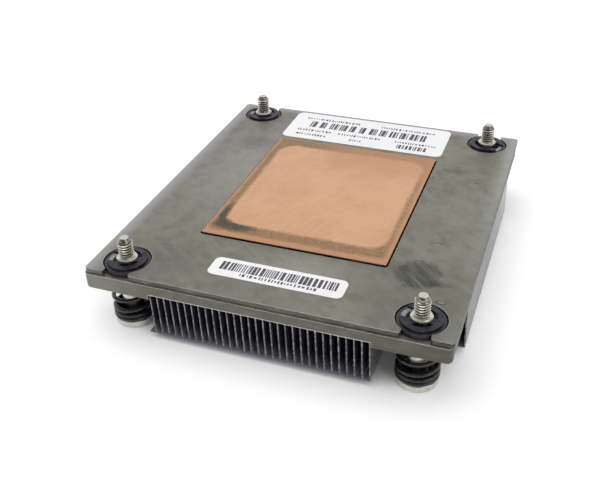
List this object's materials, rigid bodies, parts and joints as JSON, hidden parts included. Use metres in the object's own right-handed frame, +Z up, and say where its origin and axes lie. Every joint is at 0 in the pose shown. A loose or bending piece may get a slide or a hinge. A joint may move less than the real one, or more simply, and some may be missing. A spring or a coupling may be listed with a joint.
{
  "type": "passive server processor heatsink",
  "caption": "Low passive heatsink with straight sheet fins, a copper contact face, a stiffened base plate and captive spring screws.",
  "frame": {"origin": "centre of the footprint, on the plane that the screw heads stand on", "axes": "+X along the fin fronts to the right, +Y along the air channels to the rear, +Z up to the contact face"},
  "size_m": [0.0991, 0.1128, 0.0262],
  "materials": {
    "base_metal": "dull plated, slightly mottled",
    "stiffener_metal": "dull plated sheet, mottled, bright cut edges",
    "contact_copper": "bare copper, satin, with a dark smear round its rim",
    "fin_aluminium": "bare rolled sheet",
    "screw_steel": "bright zinc plate with a yellow tint",
    "spring_black": "black, semi-gloss",
    "washer_black": "black, semi-gloss",
    "clip_black": "black oxide, semi-gloss",
    "label_white": "white film with plain black print marks"
  },
  "bodies": {
    "heatsink": {"base_plate": "base_metal", "stiffener_plate": "stiffener_metal", "contact_block": "contact_copper", "fin_01": "fin_aluminium", "fin_02": "fin_aluminium", "fin_03": "fin_aluminium", "fin_04": "fin_aluminium", "fin_05": "fin_aluminium", "fin_06": "fin_aluminium", "fin_07": "fin_aluminium", "fin_08": "fin_aluminium", "fin_09": "fin_aluminium", "fin_10": "fin_aluminium", "fin_11": "fin_aluminium", "fin_12": "fin_aluminium", "fin_13": "fin_aluminium", "fin_14": "fin_aluminium", "fin_15": "fin_aluminium", "fin_16": "fin_aluminium", "fin_17": "fin_aluminium", "fin_18": "fin_aluminium", "fin_19": "fin_aluminium", "fin_20": "fin_aluminium", "fin_21": "fin_aluminium", "fin_22": "fin_aluminium", "fin_23": "fin_aluminium", "fin_24": "fin_aluminium", "fin_25": "fin_aluminium", "fin_26": "fin_aluminium", "fin_27": "fin_aluminium", "fin_28": "fin_aluminium", "fin_29": "fin_aluminium", "fin_30": "fin_aluminium", "fin_31": "fin_aluminium", "side_fins_left": "fin_aluminium", "side_fins_right": "fin_aluminium", "washer_front_left": "washer_black", "washer_front_right": "washer_black", "washer_rear_left": "washer_black", "washer_rear_right": "washer_black", "spring_front_left": "spring_black", "spring_front_right": "spring_black", "spring_rear_left": "spring_black", "spring_rear_right": "spring_black", "label_rear": "label_white", "label_front": "label_white"},
    "clip_body_front_left": {"clip_front_left": "clip_black"},
    "screw_body_front_left": {"screw_front_left": "screw_steel"},
    "clip_body_front_right": {"clip_front_right": "clip_black"},
    "screw_body_front_right": {"screw_front_right": "screw_steel"},
    "clip_body_rear_left": {"clip_rear_left": "clip_black"},
    "screw_body_rear_left": {"screw_rear_left": "screw_steel"},
    "clip_body_rear_right": {"clip_rear_right": "clip_black"},
    "screw_body_rear_right": {"screw_rear_right": "screw_steel"}
  },
  "joints": [
    {"name": "press_front_left", "type": "slide", "parent": "heatsink", "child": "clip_body_front_left", "axis": [0, 0, 1], "range_m": [0, 0.0035], "stiffness_N_per_m": 4000, "springref_m": -0.004, "deforming": ["spring_front_left"]},
    {"name": "turn_front_left", "type": "hinge", "parent": "clip_body_front_left", "child": "screw_body_front_left", "pos_m": [-0.04, -0.049, 0.0193], "axis": [0, 0, 1], "continuous": true},
    {"name": "press_front_right", "type": "slide", "parent": "heatsink", "child": "clip_body_front_right", "axis": [0, 0, 1], "range_m": [0, 0.0035], "stiffness_N_per_m": 4000, "springref_m": -0.004, "deforming": ["spring_front_right"]},
    {"name": "turn_front_right", "type": "hinge", "parent": "clip_body_front_right", "child": "screw_body_front_right", "pos_m": [0.04, -0.049, 0.0193], "axis": [0, 0, 1], "continuous": true},
    {"name": "press_rear_left", "type": "slide", "parent": "heatsink", "child": "clip_body_rear_left", "axis": [0, 0, 1], "range_m": [0, 0.0035], "stiffness_N_per_m": 4000, "springref_m": -0.004, "deforming": ["spring_rear_left"]},
    {"name": "turn_rear_left", "type": "hinge", "parent": "clip_body_rear_left", "child": "screw_body_rear_left", "pos_m": [-0.04, 0.049, 0.0193], "axis": [0, 0, 1], "continuous": true},
    {"name": "press_rear_right", "type": "slide", "parent": "heatsink", "child": "clip_body_rear_right", "axis": [0, 0, 1], "range_m": [0, 0.0035], "stiffness_N_per_m": 4000, "springref_m": -0.004, "deforming": ["spring_rear_right"]},
    {"name": "turn_rear_right", "type": "hinge", "parent": "clip_body_rear_right", "child": "screw_body_rear_right", "pos_m": [0.04, 0.049, 0.0193], "axis": [0, 0, 1], "continuous": true}
  ]
}
